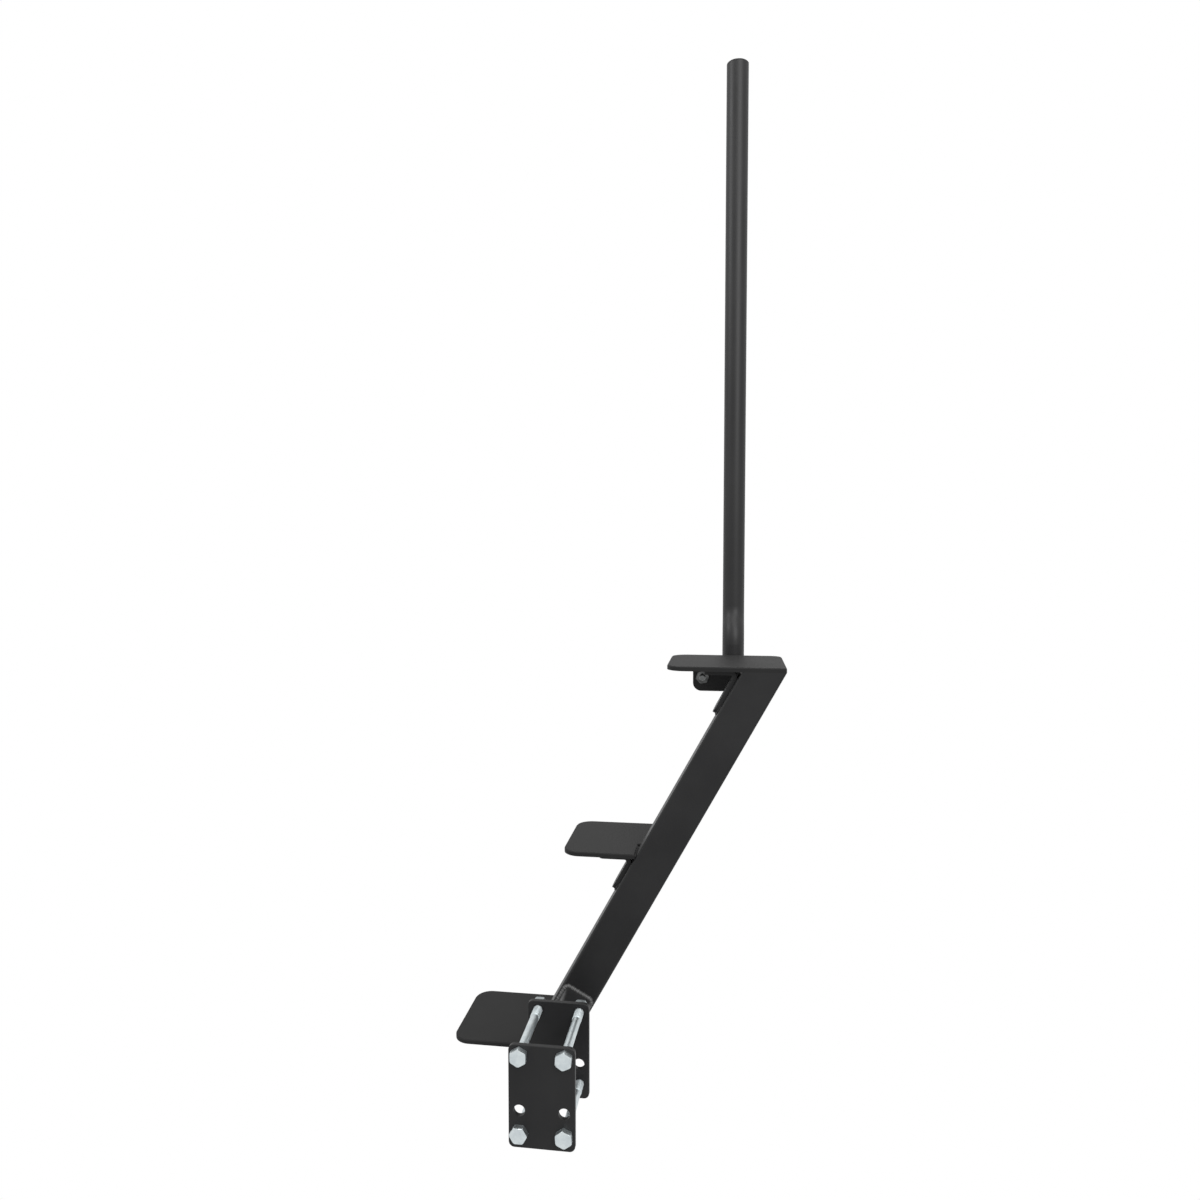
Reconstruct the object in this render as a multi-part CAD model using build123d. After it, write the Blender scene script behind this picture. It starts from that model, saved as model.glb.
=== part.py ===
from build123d import *
import os
from math import cos, radians, sin, tan

# Trailer ladder, millimetres.
# Three plate steps stand out from one leaning tube, and a two-plate clamp grips the trailer tongue.
# Origin: centre of the mounting plate's gripping face. X along the tongue, Y from the loose clamp
# plate towards the mounting plate, Z up.

# Clamp plates
plate_width = 80.0
plate_height = 125.0
plate_thickness = 6.0
plate_corner_radius = 7.0
jaw_gap = 99.0
hole_side_margin = 13.0
upper_row_margin = 12.5
lower_row_margin = 18.5
spare_row_pitch = 27.0
clamp_hole_diameter = 14.0

# Clamp bolts and nuts
clamp_bolt_diameter = 12.0
clamp_bolt_length = 120.0
clamp_hex_flats = 19.0
clamp_head_height = 7.5
clamp_nut_height = 10.8

# Rail bolts and nuts
rail_bolt_diameter = 10.0
rail_bolt_length = 25.0
rail_hex_flats = 17.0
rail_head_height = 6.4
rail_nut_height = 8.4
rail_hole_diameter = 11.0

# Hexagon details
hex_chamfer_angle = 20.0
hex_top_ratio = 0.97
bolt_point_chamfer = 1.2
nut_running_clearance = 0.05

# Leaning riser tube
riser_lean = 28.83
riser_width = 50.8
riser_depth = 38.1
riser_wall = 3.0
riser_corner_radius = 3.5
riser_centre_x = -6.85

# Stand-off tube between the mounting plate and the riser
standoff_side = 38.1
standoff_wall = 3.0
standoff_length = 65.0
standoff_corner_radius = 4.0
standoff_drop = 26.0

# Steps
step_depth = 142.0
step_thickness = 6.0
step_outer_radius = 23.0
step_inner_radius = 5.0
step_end_radius = 16.0
step_edge_break = 1.2
bottom_step_z = -37.2
middle_step_z = 236.1
top_step_z = 490.5
bottom_step_left_x = -164.6
middle_step_left_x = -8.2
top_step_left_x = 132.0
notch_clearance = 8.0
notch_corner_radius = 3.0

# Bent cleats that brace the middle and top steps, flush with the riser's rear face
cleat_thickness = 6.0
cleat_width = 25.4
cleat_bend_radius = 3.0
cleat_tip_radius = 12.0
cleat_flat_leg = 50.0
middle_cleat_leg = 58.0
top_cleat_leg = 68.0

# Rail ear plate and rail foot plate
ear_width = 116.0
ear_height = 46.5
ear_corner_radius = 12.0
ear_bolt_spacing = 88.0
ear_bolt_drop = 25.5

# Handrail tube and its end cap
rail_diameter = 31.8
rail_wall = 2.0
rail_x = 220.0
rail_end_z = 1347.0
rail_offset = 20.0
rail_bend_start_z = 505.0
rail_bend_height = 55.0
rail_foot_rise = 4.0
cap_thickness = 2.5
cap_plug_length = 14.0
cap_edge_break = 1.0

# Seats and edge breaks
seat_gap = 0.3
edge_break = 0.6

# Levels and directions that follow from the sizes above
lean = radians(riser_lean)
riser_up = Vector(sin(lean), 0, cos(lean))
riser_across = Vector(cos(lean), 0, -sin(lean))
riser_half_run = riser_width / 2 / cos(lean)
mounting_rear_y = plate_thickness
clamp_rear_y = -jaw_gap
clamp_front_y = clamp_rear_y - plate_thickness
riser_front_y = mounting_rear_y + standoff_length
riser_rear_y = riser_front_y + riser_depth
step_rear_y = riser_front_y + step_depth
top_step_underside_z = top_step_z - step_thickness
middle_step_underside_z = middle_step_z - step_thickness
foot_rear_y = step_rear_y + plate_thickness
column_x_offset = plate_width / 2 - hole_side_margin
upper_row_z = plate_height / 2 - upper_row_margin
lower_row_z = lower_row_margin - plate_height / 2
spare_row_z = lower_row_z + spare_row_pitch
standoff_centre_z = upper_row_z - standoff_drop
clamp_columns = {"left": -column_x_offset, "right": column_x_offset}
clamp_rows = {"upper": upper_row_z, "lower": lower_row_z}
rail_columns = {"left": rail_x - ear_bolt_spacing / 2, "right": rail_x + ear_bolt_spacing / 2}


def riser_mid_x(z):
    """Centre line of the riser at a height."""
    return riser_centre_x + z * tan(lean)


def save(shape, node):
    shape.label = node
    export_step(shape, f"parts/{node}.step")


def facing_front(rear_y):
    """Drawing plane seen from the front, local X right and local Y up, whose normal is -Y."""
    return Plane(origin=(0, rear_y, 0), x_dir=(1, 0, 0), z_dir=(0, -1, 0))


def flat_plate(outline, thickness, normal):
    """Sheet of even thickness with its outer rims broken."""
    sheet = extrude(outline, amount=thickness, dir=normal)
    rims = [edge for face in sheet.faces().filter_by(Axis((0, 0, 0), normal))
            for edge in face.outer_wire().edges()]
    return chamfer(rims, edge_break)


def square_tube(plane, width, depth, wall, radius, length):
    """Rectangular hollow section with rounded corners, drawn on a plane and run along its normal."""
    outer = RectangleRounded(width, depth, radius)
    inner = RectangleRounded(width - 2 * wall, depth - 2 * wall, radius - wall)
    return extrude(plane * (outer - inner), amount=length)


def hexagon(flats, height, both_ends):
    """Hexagon block on the XY plane, corners turned off at the top or at both ends."""
    corner_radius = flats / 2 / cos(radians(30))
    block = extrude(RegularPolygon(corner_radius, 6), amount=height)
    turned_drop = (corner_radius - hex_top_ratio * flats / 2) * tan(radians(hex_chamfer_angle))
    turned_width = corner_radius - hex_top_ratio * flats / 2
    blank = Pos(0, 0, height / 2) * Cylinder(corner_radius, height)
    ends = blank.edges().group_by(Axis.Z)
    rims = ends[-1] + ends[0] if both_ends else ends[-1]
    for rim in rims:
        blank = turned_end(blank, rim.center().Z, turned_drop, turned_width)
    return block & blank


def turned_end(blank, z, drop, width):
    """Turn a cone on the end of a round blank that lies at a height."""
    end_face = min(blank.faces(), key=lambda face: abs(face.center().Z - z))
    return chamfer(end_face.edges(), drop, width, reference=end_face)


def hex_bolt(diameter, length, flats, head_height):
    """Bolt along Z with its head below the XY plane and its shank above."""
    head = Rot(180, 0, 0) * hexagon(flats, head_height, False)
    shank = Pos(0, 0, length / 2) * Cylinder(diameter / 2, length)
    shank = chamfer(shank.edges().group_by(Axis.Z)[-1], bolt_point_chamfer)
    return head + shank


def hex_nut(diameter, flats, height):
    """Nut along Z on the XY plane."""
    bore = Pos(0, 0, height / 2) * Cylinder(diameter / 2 + nut_running_clearance, height)
    return hexagon(flats, height, True) - bore


def along_y(x, y, z, towards=1, turn=0):
    """Place a piece drawn along Z so that it runs along Y; towards=-1 points it at the front."""
    return Pos(x, y, z) * Rot(-90 * towards, 0, 0) * Rot(0, 0, turn)


os.makedirs("parts", exist_ok=True)

# Mounting plate and loose clamp plate, the same outline and holes
jaw_outline = RectangleRounded(plate_width, plate_height, plate_corner_radius)
for column_x in clamp_columns.values():
    for row_z in (upper_row_z, spare_row_z, lower_row_z):
        jaw_outline -= Pos(column_x, row_z) * Circle(clamp_hole_diameter / 2)
front = (0, -1, 0)
save(flat_plate(facing_front(mounting_rear_y) * jaw_outline, plate_thickness, front), "mounting_plate")
save(flat_plate(facing_front(clamp_rear_y) * jaw_outline, plate_thickness, front), "clamp_plate")

# Clamp bolts ride with the loose plate; their nuts stay behind the mounting plate, a flat side up
clamp_bolt = hex_bolt(clamp_bolt_diameter, clamp_bolt_length, clamp_hex_flats, clamp_head_height)
clamp_nut = hex_nut(clamp_bolt_diameter, clamp_hex_flats, clamp_nut_height)
head_turns = {"upper_left": 0, "upper_right": 4, "lower_left": 30, "lower_right": -5}
for row, row_z in clamp_rows.items():
    for side, column_x in clamp_columns.items():
        place = f"{row}_{side}"
        corner_up = 30 + head_turns[place]
        save(along_y(column_x, clamp_front_y, row_z, turn=corner_up) * clamp_bolt, f"clamp_bolt_{place}")
        save(along_y(column_x, mounting_rear_y, row_z) * clamp_nut, f"clamp_nut_{place}")

# Stand-off tube, square to the riser's lean
standoff_plane = Plane(
    origin=(riser_mid_x(standoff_centre_z), mounting_rear_y, standoff_centre_z),
    x_dir=riser_across,
    z_dir=(0, 1, 0),
)
save(
    square_tube(standoff_plane, standoff_side, standoff_side, standoff_wall,
                standoff_corner_radius, standoff_length),
    "standoff_tube",
)

# Riser tube, cut level between the bottom step and the top step
riser_height = top_step_underside_z - bottom_step_z
riser_margin = riser_width
riser_foot = Vector(riser_mid_x(bottom_step_z), riser_front_y + riser_depth / 2, bottom_step_z)
riser_plane = Plane(
    origin=riser_foot - riser_up * riser_margin,
    x_dir=riser_across,
    z_dir=riser_up,
)
riser_blank = square_tube(riser_plane, riser_width, riser_depth, riser_wall, riser_corner_radius,
                          riser_height / cos(lean) + 2 * riser_margin)
riser_cut = Pos(riser_mid_x(bottom_step_z + riser_height / 2), riser_foot.Y,
                bottom_step_z + riser_height / 2) * Box(riser_height * 2, step_depth, riser_height)
save(riser_blank & riser_cut, "riser_tube")


def step_sheet(left_x, step_z, seat_z, notched=False):
    """Flat step with rounded corners that ends flush with the riser's far face where they meet.

    A notched step lets the riser through its front edge.
    """
    right_x = riser_mid_x(seat_z) + riser_half_run
    mid_x = (left_x + right_x) / 2
    mid_y = riser_front_y + step_depth / 2
    sheet = Pos(mid_x, mid_y) * Rectangle(right_x - left_x, step_depth)
    sheet = fillet(sheet.vertices().group_by(Axis.X)[0], step_outer_radius)
    front_corner, rear_corner = sheet.vertices().group_by(Axis.X)[-1].sort_by(Axis.Y)
    sheet = fillet(rear_corner, step_end_radius)
    front_corner = sheet.vertices().sort_by_distance(front_corner)[0]
    sheet = fillet(front_corner, step_inner_radius)
    if notched:
        notch_left_x = riser_mid_x(step_z - step_thickness) - riser_half_run
        notch_depth = riser_depth + notch_clearance
        notch = Rectangle(2 * (right_x - notch_left_x), 2 * notch_depth)
        notch = fillet(notch.vertices(), notch_corner_radius)
        sheet -= Pos(right_x, riser_front_y) * notch
    slab = extrude(Pos(0, 0, step_z - step_thickness) * sheet, amount=step_thickness)
    top_rim = slab.faces().sort_by(Axis.Z)[-1].outer_wire().edges()
    return chamfer(top_rim, step_edge_break)


# Steps
save(step_sheet(bottom_step_left_x, bottom_step_z, bottom_step_z), "bottom_step")
save(step_sheet(middle_step_left_x, middle_step_z, middle_step_underside_z, notched=True), "middle_step")
save(step_sheet(top_step_left_x, top_step_z, top_step_underside_z), "top_step")


def bent_cleat(underside_z, down_leg):
    """Flat bar bent under a step: one leg along the step, the other down the riser's upper face."""
    corner = Vector(riser_mid_x(underside_z) - riser_half_run, underside_z)
    down = Vector(-sin(lean), -cos(lean))
    inward = Vector(-cos(lean), sin(lean))
    inner_back = cleat_thickness * (1 + sin(lean)) / cos(lean)
    inner_corner = Vector(corner.X - inner_back, underside_z - cleat_thickness)
    flat_end_x = corner.X - cleat_flat_leg
    tip = corner + down * down_leg
    outline = make_face(Polyline(
        (corner.X, corner.Y),
        (tip.X, tip.Y),
        ((tip + inward * cleat_thickness).X, (tip + inward * cleat_thickness).Y),
        (inner_corner.X, inner_corner.Y),
        (flat_end_x, underside_z - cleat_thickness),
        (flat_end_x, underside_z),
        close=True,
    ))
    outer_vertex = outline.vertices().sort_by_distance((corner.X, corner.Y, 0))[0]
    outline = fillet(outer_vertex, cleat_bend_radius + cleat_thickness)
    inner_vertex = outline.vertices().sort_by_distance((inner_corner.X, inner_corner.Y, 0))[0]
    outline = fillet(inner_vertex, cleat_bend_radius)
    bar = extrude(facing_front(riser_rear_y) * outline, amount=cleat_width)
    tip_edges = bar.edges().filter_by(Axis((0, 0, 0), riser_across))
    bar = fillet(tip_edges, cleat_tip_radius)
    end_edges = bar.edges().filter_by(Axis.Z).group_by(Axis.X)[0]
    return fillet(end_edges, cleat_tip_radius / 2)


# Cleats under the middle and top steps
save(bent_cleat(middle_step_underside_z, middle_cleat_leg), "middle_step_cleat")
save(bent_cleat(top_step_underside_z, top_cleat_leg), "top_step_cleat")

# Rail ear plate under the top step's rear edge, and the rail's foot plate bolted behind it
ear_outline = Pos(rail_x, top_step_underside_z - ear_height / 2) * Rectangle(ear_width, ear_height)
ear_outline = fillet(ear_outline.vertices().group_by(Axis.Y)[0], ear_corner_radius)
rail_bolt_z = top_step_underside_z - ear_bolt_drop
for column_x in rail_columns.values():
    ear_outline -= Pos(column_x, rail_bolt_z) * Circle(rail_hole_diameter / 2)
save(flat_plate(facing_front(step_rear_y) * ear_outline, plate_thickness, front), "rail_ear_plate")
save(flat_plate(facing_front(foot_rear_y) * ear_outline, plate_thickness, front), "rail_foot_plate")

# Rail bolts from the rear, nuts on the side of the steps
rail_bolt = hex_bolt(rail_bolt_diameter, rail_bolt_length, rail_hex_flats, rail_head_height)
rail_nut = hex_nut(rail_bolt_diameter, rail_hex_flats, rail_nut_height)
ear_front_y = step_rear_y - plate_thickness
nut_turns = {"left": 12, "right": -20}
for side, column_x in rail_columns.items():
    save(along_y(column_x, foot_rear_y, rail_bolt_z, towards=-1) * rail_bolt, f"rail_bolt_{side}")
    save(along_y(column_x, ear_front_y, rail_bolt_z, towards=-1, turn=nut_turns[side]) * rail_nut,
         f"rail_nut_{side}")

# Handrail tube, set back above the step by two opposite bends
rail_lower_y = foot_rear_y + seat_gap + rail_diameter / 2
rail_upper_y = rail_lower_y + rail_offset
rail_foot_z = top_step_underside_z - ear_height + rail_foot_rise
bend_end_z = rail_bend_start_z + rail_bend_height
lower_run = Line((rail_x, rail_lower_y, rail_foot_z), (rail_x, rail_lower_y, rail_bend_start_z))
bend_middle = (rail_x, (rail_lower_y + rail_upper_y) / 2, (rail_bend_start_z + bend_end_z) / 2)
lower_bend = TangentArc((rail_x, rail_lower_y, rail_bend_start_z), bend_middle, tangent=(0, 0, 1))
upper_bend = TangentArc(bend_middle, (rail_x, rail_upper_y, bend_end_z), tangent=lower_bend % 1)
upper_run = Line((rail_x, rail_upper_y, bend_end_z), (rail_x, rail_upper_y, rail_end_z))
rail_path = lower_run + lower_bend + upper_bend + upper_run
rail_plane = Plane(origin=(rail_x, rail_lower_y, rail_foot_z), z_dir=(0, 0, 1))
rail_bore_radius = rail_diameter / 2 - rail_wall
rail_section = Circle(rail_diameter / 2) - Circle(rail_bore_radius)
save(sweep(rail_plane * rail_section, path=rail_path), "handrail_tube")

# End cap pushed into the top of the handrail
cap_plane = Plane(origin=(rail_x, rail_upper_y, rail_end_z), z_dir=(0, 0, 1))
cap_disc = extrude(cap_plane * Circle(rail_diameter / 2), amount=cap_thickness)
cap_disc = chamfer(cap_disc.edges().group_by(Axis.Z)[-1], cap_edge_break)
cap_plug = extrude(cap_plane * Circle(rail_bore_radius - seat_gap), amount=-cap_plug_length)
save(cap_disc + cap_plug, "handrail_cap")
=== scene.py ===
from math import cos, pi, radians, sin, tan

import bmesh
import bpy
from mathutils import Matrix, Vector


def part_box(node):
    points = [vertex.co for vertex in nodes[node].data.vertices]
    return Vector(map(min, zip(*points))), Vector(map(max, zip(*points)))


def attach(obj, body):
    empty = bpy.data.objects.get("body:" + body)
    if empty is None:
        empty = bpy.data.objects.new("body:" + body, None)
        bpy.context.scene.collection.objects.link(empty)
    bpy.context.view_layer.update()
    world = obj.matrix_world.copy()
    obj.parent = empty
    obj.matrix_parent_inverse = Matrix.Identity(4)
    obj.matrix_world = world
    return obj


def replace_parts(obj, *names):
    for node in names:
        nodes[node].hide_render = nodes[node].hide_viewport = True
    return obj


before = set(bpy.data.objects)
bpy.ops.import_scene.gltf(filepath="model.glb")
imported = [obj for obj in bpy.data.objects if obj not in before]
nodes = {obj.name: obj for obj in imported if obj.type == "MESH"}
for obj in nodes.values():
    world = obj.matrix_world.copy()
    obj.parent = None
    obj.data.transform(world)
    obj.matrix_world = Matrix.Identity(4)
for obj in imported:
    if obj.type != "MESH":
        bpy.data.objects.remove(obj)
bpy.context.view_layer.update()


# Powder coat: satin black, baked on over the welded steel. It has a fine orange peel, a slightly
# uneven depth of black, and a thin film of dust where a surface faces up. It lies duller on the
# steps and glossier on most of the weld beads, where its black is also lighter: painted highlight
# for the light the beads catch.

# Numbers of the Mix node's sockets when it mixes colours
mix_factor, mix_first_colour, mix_second_colour, mix_colour = 0, 6, 7, 2


class Shade:
    """A socket in one recipe of nodes. Arithmetic on it adds Math nodes."""

    def __init__(self, recipe, socket):
        self.recipe = recipe
        self.socket = socket

    def _math(self, operation, first, second):
        return self.recipe.add("ShaderNodeMath", {"operation": operation}, {0: first, 1: second})

    def __add__(self, other):
        return self._math("ADD", self, other)

    def __radd__(self, other):
        return self._math("ADD", other, self)

    def __mul__(self, other):
        return self._math("MULTIPLY", self, other)

    def __rmul__(self, other):
        return self._math("MULTIPLY", other, self)


class Recipe:
    """The nodes of one finish, or of the studio's surround."""

    def __init__(self, tree):
        self.tree = tree

    def join(self, socket, value):
        """Link a socket to a Shade, or set its value."""
        if isinstance(value, Shade):
            self.tree.links.new(value.socket, socket)
        else:
            socket.default_value = value

    def add(self, kind, settings, inputs, output=0):
        """Add a node: its type, its settings, then what its sockets hold, by name or number."""
        node = self.tree.nodes.new(kind)
        for key, value in settings.items():
            setattr(node, key, value)
        for key, value in inputs.items():
            self.join(node.inputs[key], value)
        return Shade(self, node.outputs[output])


class Finish(Recipe):
    """A material: its Principled shader and the nodes that feed it."""

    def __init__(self, name, fixed):
        self.material = bpy.data.materials.new(name)
        self.material.use_nodes = True
        super().__init__(self.material.node_tree)
        self.place = self.add("ShaderNodeTexCoord", {}, {}, "Object")
        self.feed(fixed)

    def feed(self, inputs):
        """Set or link the shader's own sockets by name."""
        shader = self.tree.nodes["Principled BSDF"]
        for key, value in inputs.items():
            self.join(shader.inputs[key], value)

    def grain(self, scale, detail, roughness, place=None):
        """Noise from 0 to 1, so many cells to the metre."""
        return self.add("ShaderNodeTexNoise", {}, {
            "Vector": place or self.place, "Scale": scale, "Detail": detail, "Roughness": roughness,
        })

    def band(self, value, low, high, to_low=0.0, to_high=1.0):
        """Stretch a value between two limits and clamp it."""
        return self.add("ShaderNodeMapRange", {"clamp": True}, {
            "Value": value, "From Min": low, "From Max": high, "To Min": to_low, "To Max": to_high,
        })

    def blend(self, factor, first, second):
        """Mix two colours."""
        inputs = {mix_factor: factor, mix_first_colour: first, mix_second_colour: second}
        return self.add("ShaderNodeMix", {"data_type": "RGBA"}, inputs, mix_colour)

    def relief(self, height, depth, strength):
        """Bump from a height field, depth in metres."""
        return self.add("ShaderNodeBump", {}, {"Height": height, "Distance": depth, "Strength": strength})


dust_colour = (0.16, 0.155, 0.14, 1.0)
dust_cover = 0.02
dust_dulling = 0.15
roughness_drift = 0.035
speck_roughness = 0.03
peel_depth = 0.00006


def powder_coat(name, black, worn, gloss, roughness):
    """Satin powder coat with its own depth of black, gloss and roughness."""
    coat = Finish(name, {"Specular IOR Level": gloss})
    cloud = coat.grain(scale=9.0, detail=4.0, roughness=0.6)
    peel = coat.grain(scale=620.0, detail=2.0, roughness=0.5)
    speck = coat.grain(scale=1900.0, detail=2.0, roughness=0.6)
    facing = coat.add("ShaderNodeNewGeometry", {}, {}, "Normal")
    up = coat.add("ShaderNodeSeparateXYZ", {}, {"Vector": facing}, "Z")
    film = coat.band(up, 0.7, 1.0) * coat.band(cloud, 0.3, 0.75, 0.55, 1.0) * dust_cover
    coated = coat.blend(coat.band(cloud, 0.35, 0.7), black, worn)
    drift = coat.band(cloud, 0.3, 0.7, roughness - roughness_drift, roughness + roughness_drift)
    coat.feed({
        "Base Color": coat.blend(film, coated, dust_colour),
        "Roughness": drift + coat.band(speck, 0.3, 0.7, -speck_roughness, speck_roughness)
        + film * dust_dulling,
        "Normal": coat.relief(peel * 0.7 + speck * 0.3, depth=peel_depth, strength=0.5),
    })
    return coat.material


def paint(node, material):
    """Give a CAD node its finish."""
    for slot in nodes[node].material_slots:
        slot.link = "OBJECT"
        slot.material = material


frame_coat = powder_coat("frame_powder_coat", black=(0.011, 0.011, 0.0115, 1.0),
                         worn=(0.018, 0.018, 0.0185, 1.0), gloss=0.22, roughness=0.455)
step_coat = powder_coat("step_powder_coat", black=(0.015, 0.015, 0.0152, 1.0),
                        worn=(0.022, 0.022, 0.022, 1.0), gloss=0.13, roughness=0.62)
# Painted highlight: the weld beads' coat is a lighter black than the frame's, for the light the beads
# catch.
weld_painted_highlight_coat = powder_coat("weld_painted_highlight_powder_coat", black=(0.045, 0.045, 0.0455, 1.0),
                        worn=(0.065, 0.065, 0.065, 1.0), gloss=0.60, roughness=0.40)
rail_coat = powder_coat("rail_powder_coat", black=(0.013, 0.013, 0.0135, 1.0),
                        worn=(0.019, 0.019, 0.0195, 1.0), gloss=0.27, roughness=0.455)
for node in ("mounting_plate", "clamp_plate", "standoff_tube", "riser_tube", "middle_step_cleat",
             "top_step_cleat", "rail_ear_plate", "rail_foot_plate"):
    paint(node, frame_coat)
for node in ("bottom_step", "middle_step", "top_step"):
    paint(node, step_coat)
paint("handrail_tube", rail_coat)


# End cap: black polyethylene, moulded and pushed into the top of the handrail. It has a faint mould
# grain and a little less gloss than the tube.

cap_plastic = Finish("moulded_cap_plastic", {"Specular IOR Level": 0.25})
mould = cap_plastic.grain(scale=1400.0, detail=3.0, roughness=0.6)
cap_plastic.feed({
    "Base Color": cap_plastic.blend(mould, (0.008, 0.008, 0.008, 1.0), (0.014, 0.014, 0.0145, 1.0)),
    "Roughness": cap_plastic.band(mould, 0.3, 0.7, 0.48, 0.62),
    "Normal": cap_plastic.relief(mould, depth=0.00005, strength=0.5),
})
paint("handrail_cap", cap_plastic.material)


# Nuts: steel, zinc plated, paler at the clamp and much darker at the rail, where the darkness of the
# nut and its bolt is painted shade for the shade under the top step. The faint blue passivation
# drifts from place to place, over fine drawing marks and small dull pits. The bolts share the plate.

def zinc_plate(name, light, dark, pit_dulling):
    """Zinc plate that drifts between two tints."""
    zinc = Finish(name, {"Metallic": 1.0})
    drift = zinc.grain(scale=120.0, detail=3.0, roughness=0.6)
    pits = zinc.grain(scale=2600.0, detail=3.0, roughness=0.7)
    drawn = zinc.add("ShaderNodeMapping", {}, {"Vector": zinc.place, "Scale": (900.0, 160.0, 900.0)})
    marks = zinc.grain(scale=1.0, detail=2.0, roughness=0.5, place=drawn)
    zinc.feed({
        "Base Color": zinc.blend(zinc.band(drift, 0.35, 0.65), light, dark),
        "Roughness": zinc.band(drift, 0.3, 0.7, to_low=0.33, to_high=0.42)
        + zinc.band(pits, 0.4, 0.7, to_high=pit_dulling),
        "Normal": zinc.relief(pits * 0.5 + marks * 0.5, depth=0.00002, strength=0.25),
    })
    return zinc.material


clamp_bolt_zinc = zinc_plate("bright_zinc_plate", light=(0.62, 0.67, 0.68, 1.0),
                             dark=(0.52, 0.57, 0.59, 1.0), pit_dulling=0.10)
clamp_nut_zinc = zinc_plate("dull_zinc_plate", light=(0.40, 0.43, 0.44, 1.0),
                            dark=(0.30, 0.33, 0.34, 1.0), pit_dulling=0.15)
# Painted shade: the rail's bolt and nut, in the shade under the top step, get a far darker zinc.
rail_bolt_painted_shade_zinc = zinc_plate("painted_shade_bolt_zinc_plate", light=(0.18, 0.185, 0.185, 1.0),
                            dark=(0.13, 0.135, 0.135, 1.0), pit_dulling=0.04)
rail_nut_painted_shade_zinc = zinc_plate("painted_shade_nut_zinc_plate", light=(0.15, 0.152, 0.152, 1.0),
                           dark=(0.05, 0.052, 0.052, 1.0), pit_dulling=0.0)
clamp_corners = [f"{row}_{side}" for row in ("upper", "lower") for side in ("left", "right")]
rail_sides = ("left", "right")
for corner in clamp_corners:
    paint(f"clamp_nut_{corner}", clamp_nut_zinc)
# The rail's nuts take the darker zinc that is painted shade.
for side in rail_sides:
    paint(f"rail_nut_{side}", rail_nut_painted_shade_zinc)


# Bolts: steel, with forged hexagon heads and rolled threads, zinc plated. Rolling pushes the thread's
# crests out of a thinner shank, so the plain part is narrower than the thread. The head is the CAD
# model's; the shank and its helical thread are turned on below it.

def finished(name, mesh, material, body, smooth_angle):
    """Close a bmesh into an object at the origin that rides on a body."""
    bmesh.ops.recalc_face_normals(mesh, faces=mesh.faces)
    data = bpy.data.meshes.new(name)
    mesh.to_mesh(data)
    mesh.free()
    data.materials.append(material)
    data.shade_smooth()
    data.set_sharp_from_angle(angle=radians(smooth_angle))
    piece = bpy.data.objects.new(name, data)
    bpy.context.scene.collection.objects.link(piece)
    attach(piece, body)
    return piece


# Shares of a thread's pitch
thread_depth = 0.5
shank_step = 0.325
ridge_top_start = 0.30
ridge_top_end = 0.56
ridge_foot_end = 0.86

head_overlap = 0.001
thread_overlap = 0.0003
thread_run_out = 0.0006
point_length = 0.0008
point_drop = 0.0009
cut_clearance = 0.00001
crest_wear = 0.00006
shank_segments = 40
thread_segments = 36


def turned(mesh, axis_point, outline, segments):
    """Turn an outline of (radius, y) about a line along Y."""
    points = [mesh.verts.new((axis_point.x + radius, y, axis_point.z)) for radius, y in outline]
    edges = [mesh.edges.new(pair) for pair in zip(points, points[1:])]
    bmesh.ops.spin(mesh, geom=points + edges, cent=axis_point, axis=(0, 1, 0), dvec=(0, 0, 0),
                   angle=2 * pi, steps=segments, use_merge=True, use_normal_flip=False,
                   use_duplicate=False)
    bmesh.ops.remove_doubles(mesh, verts=mesh.verts, dist=1e-7)


def rolled_thread(mesh, axis_point, root, crest, pitch, start, end, segments):
    """Wind a ridge round a line along Y, from one y to another."""
    way = 1 if end > start else -1
    buried = root - thread_overlap
    ridge = [(buried, 0.0), (crest, ridge_top_start * pitch), (crest, ridge_top_end * pitch),
             (buried, ridge_foot_end * pitch)]
    points = [mesh.verts.new((axis_point.x + radius, start + way * y, axis_point.z))
              for radius, y in ridge]
    edges = [mesh.edges.new(pair) for pair in zip(points, points[1:] + points[:1])]
    near_end = mesh.faces.new(points)
    steps = int((abs(end - start) - pitch) / pitch * segments)
    bmesh.ops.spin(mesh, geom=points + edges + [near_end], cent=axis_point, axis=(0, 1, 0),
                   dvec=(0, way * pitch / segments, 0), angle=way * 2 * pi * steps / segments,
                   steps=steps, use_merge=False, use_normal_flip=False, use_duplicate=False)


def plated_bolt(node, body, material, radius, pitch, under_head, tip, thread_start):
    """Keep the head of a CAD bolt and turn a threaded shank below it."""
    low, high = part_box(node)
    way = 1 if tip > under_head else -1
    mesh = bmesh.new()
    mesh.from_mesh(nodes[node].data)
    bmesh.ops.remove_doubles(mesh, verts=mesh.verts, dist=1e-6)
    cut_y = under_head + way * cut_clearance
    bmesh.ops.bisect_plane(mesh, geom=mesh.verts[:] + mesh.edges[:] + mesh.faces[:], dist=1e-7,
                           plane_co=(0, cut_y, 0), plane_no=(0, way, 0), clear_outer=True)
    bmesh.ops.holes_fill(mesh, edges=[edge for edge in mesh.edges if edge.is_boundary], sides=0)
    centre = Vector(((low.x + high.x) / 2, under_head, (low.z + high.z) / 2))
    root = radius - thread_depth * pitch
    shank = radius - shank_step * pitch
    shank_start = under_head - way * head_overlap
    turned(mesh, centre, [
        (0.0, shank_start), (shank, shank_start),
        (shank, thread_start), (root, thread_start + way * thread_run_out),
        (root, tip - way * point_length), (root - point_drop, tip), (0.0, tip),
    ], shank_segments)
    rolled_thread(mesh, centre, root, radius - crest_wear, pitch, thread_start,
                  tip - way * thread_run_out, thread_segments)
    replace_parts(finished(f"{node}_plated", mesh, material, body, 15.0), node)


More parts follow.
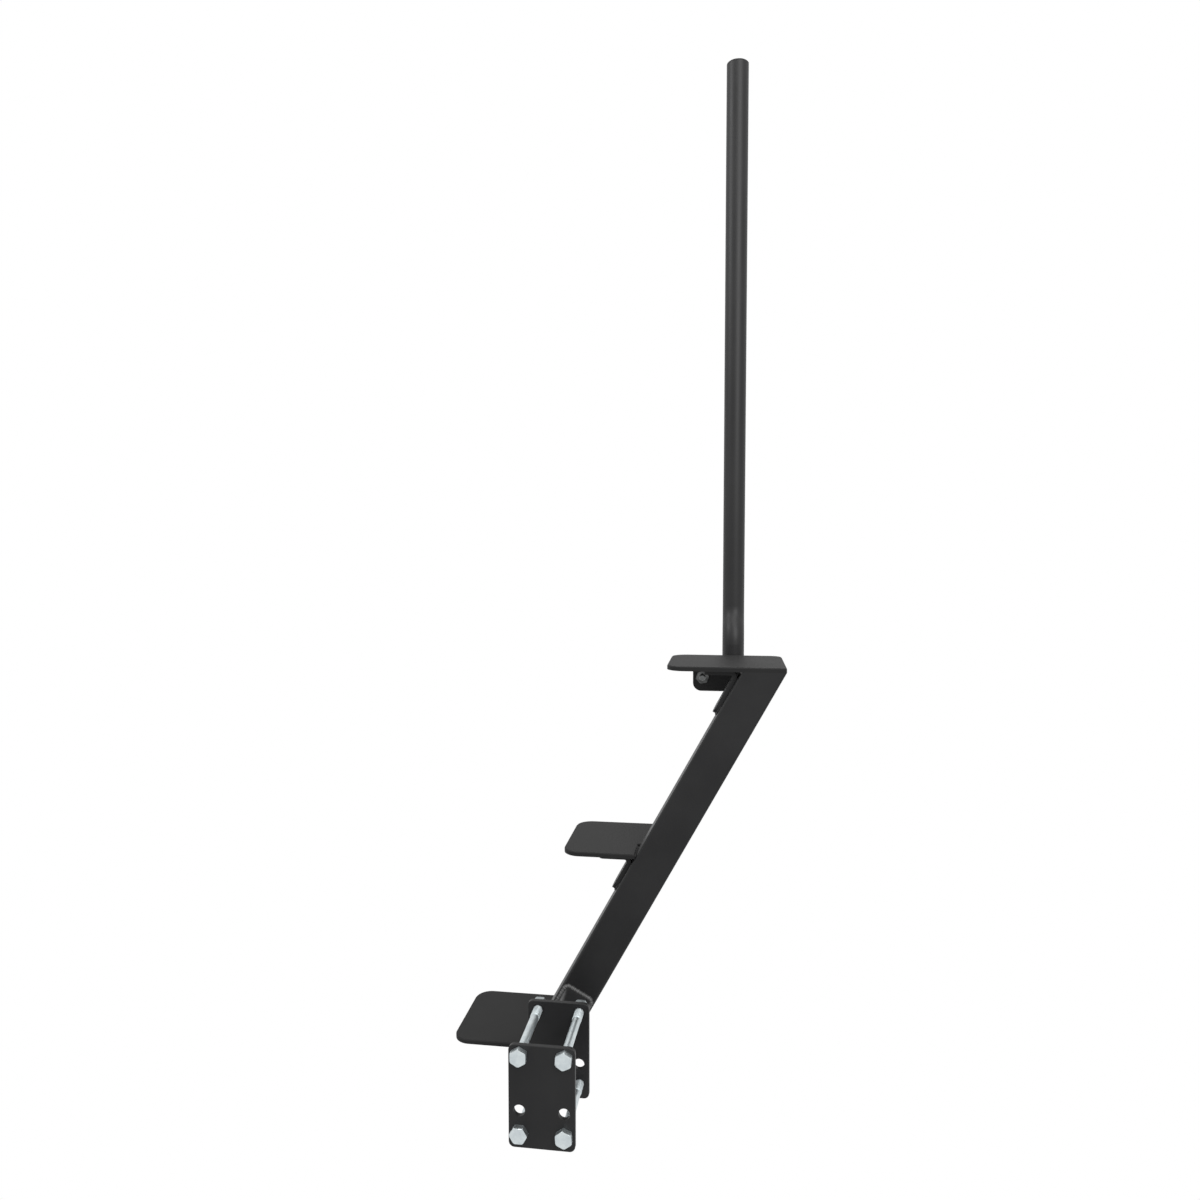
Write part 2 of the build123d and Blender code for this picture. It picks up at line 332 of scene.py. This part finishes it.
clamp_thread_length = 0.034
clamp_under_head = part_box("clamp_plate")[0].y
clamp_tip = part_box("clamp_bolt_upper_left")[1].y
for corner in clamp_corners:
    plated_bolt(f"clamp_bolt_{corner}", "clamp", clamp_bolt_zinc, radius=0.006, pitch=0.00175,
                under_head=clamp_under_head, tip=clamp_tip, thread_start=clamp_tip - clamp_thread_length)
rail_plain_length = 0.003
rail_under_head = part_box("rail_foot_plate")[1].y
rail_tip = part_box("rail_bolt_left")[0].y
# The rail's bolts take the darker zinc that is painted shade.
for side in rail_sides:
    plated_bolt(f"rail_bolt_{side}", "ladder", rail_bolt_painted_shade_zinc, radius=0.005, pitch=0.0015,
                under_head=rail_under_head, tip=rail_tip, thread_start=rail_under_head - rail_plain_length)


# Weld beads: laid by hand where tubes, plates and cleats meet, each a row of overlapping ripples of
# slightly uneven size. The powder coat is glossier on them than on the frame and a lighter black,
# which is painted highlight, except on the beads at the cleats' toes and in the middle step's slot.

ripple_length = 0.0016
ripple_overlap = 1.25
ripple_segments = 10
ripple_rings = 6
slow_swell = 0.10
quick_swell = 0.06


# By default the beads take the weld coat, whose lighter black is painted highlight.
def weld_bead(name, path, radius, coat=weld_painted_highlight_coat):
    """Lay ripples along straight runs between points."""
    mesh = bmesh.new()
    for start, end in zip(path, path[1:]):
        run = end - start
        count = max(2, round(run.length / ripple_length))
        turn = run.to_track_quat("Z", "Y").to_matrix().to_4x4()
        for index in range(count + 1):
            swell = radius * (1.0 + slow_swell * sin(index * 2.3) + quick_swell * sin(index * 5.1))
            squash = Matrix.Diagonal((swell, swell, ripple_length * ripple_overlap, 1.0))
            spot = Matrix.Translation(start.lerp(end, index / count))
            bmesh.ops.create_uvsphere(mesh, u_segments=ripple_segments, v_segments=ripple_rings,
                                      radius=1.0, matrix=spot @ turn @ squash)
    finished(name, mesh, coat, "ladder", 60.0)


riser_lean = radians(28.83)
riser_half_width = 0.0254
riser_up = Vector((sin(riser_lean), 0, cos(riser_lean)))
riser_across = Vector((cos(riser_lean), 0, -sin(riser_lean)))
riser_low, riser_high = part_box("riser_tube")
riser_half_run = riser_half_width / cos(riser_lean)


def riser_side(z, side):
    """X of the riser's left (-1) or right (1) side at a height."""
    return riser_low.x + riser_half_run * (1 + side) + (z - riser_low.z) * tan(riser_lean)


standoff_half_width = 0.01905
standoff_corner_cut = 0.003
standoff_bead_lift = 0.0006
standoff_front_radius = 0.0019
standoff_rear_radius = 0.0036
standoff_low, standoff_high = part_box("standoff_tube")
standoff_mid = (standoff_low + standoff_high) / 2
spread = standoff_half_width + standoff_bead_lift
corner_spread = spread - standoff_corner_cut
standoff_loop = []
for across, up in ((-1, -1), (-1, 1), (1, 1), (1, -1)):
    before = riser_across * across * spread + riser_up * up * corner_spread
    after = riser_across * across * corner_spread + riser_up * up * spread
    standoff_loop += [before, after] if across * up < 0 else [after, before]
for end, y, radius in (("front", standoff_low.y, standoff_front_radius),
                       ("rear", standoff_high.y, standoff_rear_radius)):
    centre = Vector((standoff_mid.x, y, standoff_mid.z))
    path = [centre + point for point in standoff_loop + standoff_loop[:1]]
    weld_bead(f"standoff_{end}_weld", path, radius)

riser_bead_radius = 0.0024
riser_bead_inset = 0.003
riser_bead_lift = 0.0004
for end, end_z, bead_z in (("foot", riser_low.z, riser_low.z + riser_bead_lift),
                           ("head", riser_high.z, riser_high.z - riser_bead_lift)):
    left = riser_side(end_z, -1)
    right = riser_side(end_z, 1) - riser_bead_inset
    weld_bead(f"riser_{end}_weld", [
        Vector((left, riser_low.y + riser_bead_inset, bead_z)),
        Vector((left, riser_high.y, bead_z)),
        Vector((right, riser_high.y, bead_z)),
    ], riser_bead_radius)

toe_round = 0.012
toe_runs = 4
toe_bead_radius = 0.0022
for cleat in ("middle_step_cleat", "top_step_cleat"):
    cleat_low, cleat_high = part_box(cleat)
    toe = []
    for centre_y, first in ((cleat_low.y + toe_round, 0), (cleat_high.y - toe_round, 90)):
        for index in range(toe_runs + 1):
            angle = radians(first + index * 90 / toe_runs)
            foot = Vector((riser_side(cleat_low.z, -1), centre_y - toe_round * cos(angle), cleat_low.z))
            toe.append(foot + riser_up * toe_round * (1 - sin(angle)))
    weld_bead(f"{cleat}_toe_weld", toe, toe_bead_radius, frame_coat)

slot_bead_radius = 0.0026
slot_bead_height = 0.001
slot_bead_gap = 0.0004
slot_front_inset = 0.006
slot_run_past = 0.007
slot_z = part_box("middle_step")[0].z + slot_bead_height
slot_x = riser_side(slot_z, -1) - slot_bead_gap
weld_bead("middle_step_slot_weld", [
    Vector((slot_x, riser_low.y + slot_front_inset, slot_z)),
    Vector((slot_x, riser_high.y + slot_run_past, slot_z)),
], slot_bead_radius, frame_coat)

ear_bead_radius = 0.0022
ear_bead_inset = 0.002
ear_low, ear_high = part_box("rail_ear_plate")
weld_bead("ear_weld", [
    Vector((ear_low.x + ear_bead_inset, ear_low.y, ear_high.z)),
    Vector((ear_high.x - ear_bead_inset, ear_low.y, ear_high.z)),
], ear_bead_radius)

rail_bead_radius = 0.0028
rail_bead_inset = 0.002
rail_bead_offset = 0.0085
rail_bead_lift = 0.0008
rail_low, rail_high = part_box("handrail_tube")
rail_x = (rail_low.x + rail_high.x) / 2
rail_bead_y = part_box("rail_foot_plate")[1].y + rail_bead_lift
for side, offset in (("left", -rail_bead_offset), ("right", rail_bead_offset)):
    weld_bead(f"rail_foot_weld_{side}", [
        Vector((rail_x + offset, rail_bead_y, rail_low.z + rail_bead_inset)),
        Vector((rail_x + offset, rail_bead_y, ear_high.z - rail_bead_inset)),
    ], rail_bead_radius)


# Studio: a white surround and three soft lamps, with the camera where the photographer stood. The
# surround is full white to the camera and in reflections, and lights matt surfaces less than that.

down_tilt = 3.127
left_turn = 8.188
camera_data = bpy.data.cameras.new("studio_camera")
camera_data.sensor_width = 36.0
camera_data.lens = 27.066
camera_data.clip_start = 0.02
camera = bpy.data.objects.new("studio_camera", camera_data)
camera.location = (0.21424, -1.11139, 0.64271)
camera.rotation_euler = (radians(90 - down_tilt), 0.0, radians(left_turn))
bpy.context.scene.collection.objects.link(camera)
bpy.context.scene.camera = camera

matt_white = 0.40
world = bpy.data.worlds.new("white_studio")
world.use_nodes = True
bpy.context.scene.world = world
surround = Recipe(world.node_tree)
seen = 0.0
for ray in ("Is Camera Ray", "Is Glossy Ray", "Is Transmission Ray"):
    seen = surround.add("ShaderNodeLightPath", {}, {}, ray) + seen
full_white = surround.add("ShaderNodeMath", {"operation": "MINIMUM"}, {0: seen, 1: 1.0})
background = world.node_tree.nodes["Background"]
surround.join(background.inputs["Color"], (1.0, 1.0, 1.0, 1.0))
surround.join(background.inputs["Strength"], full_white * (1.0 - matt_white) + matt_white)


def softbox(name, spot, aim, width, power):
    """A square soft lamp turned to a point."""
    data = bpy.data.lights.new(name, "AREA")
    data.size = width
    data.energy = power
    lamp = bpy.data.objects.new(name, data)
    lamp.location = spot
    lamp.rotation_euler = (Vector(aim) - Vector(spot)).to_track_quat("-Z", "Y").to_euler()
    bpy.context.scene.collection.objects.link(lamp)


softbox("key_softbox", spot=(1.35, -2.1, 1.9), aim=(0.1, 0.1, 0.5), width=1.4, power=47.0)
softbox("fill_softbox", spot=(-1.7, -0.55, 2.1), aim=(0.1, 0.1, 1.0), width=1.0, power=22.0)
softbox("top_softbox", spot=(0.5, -0.7, 2.9), aim=(0.15, 0.15, 0.5), width=1.6, power=26.0)

bpy.context.scene.view_settings.view_transform = "Standard"
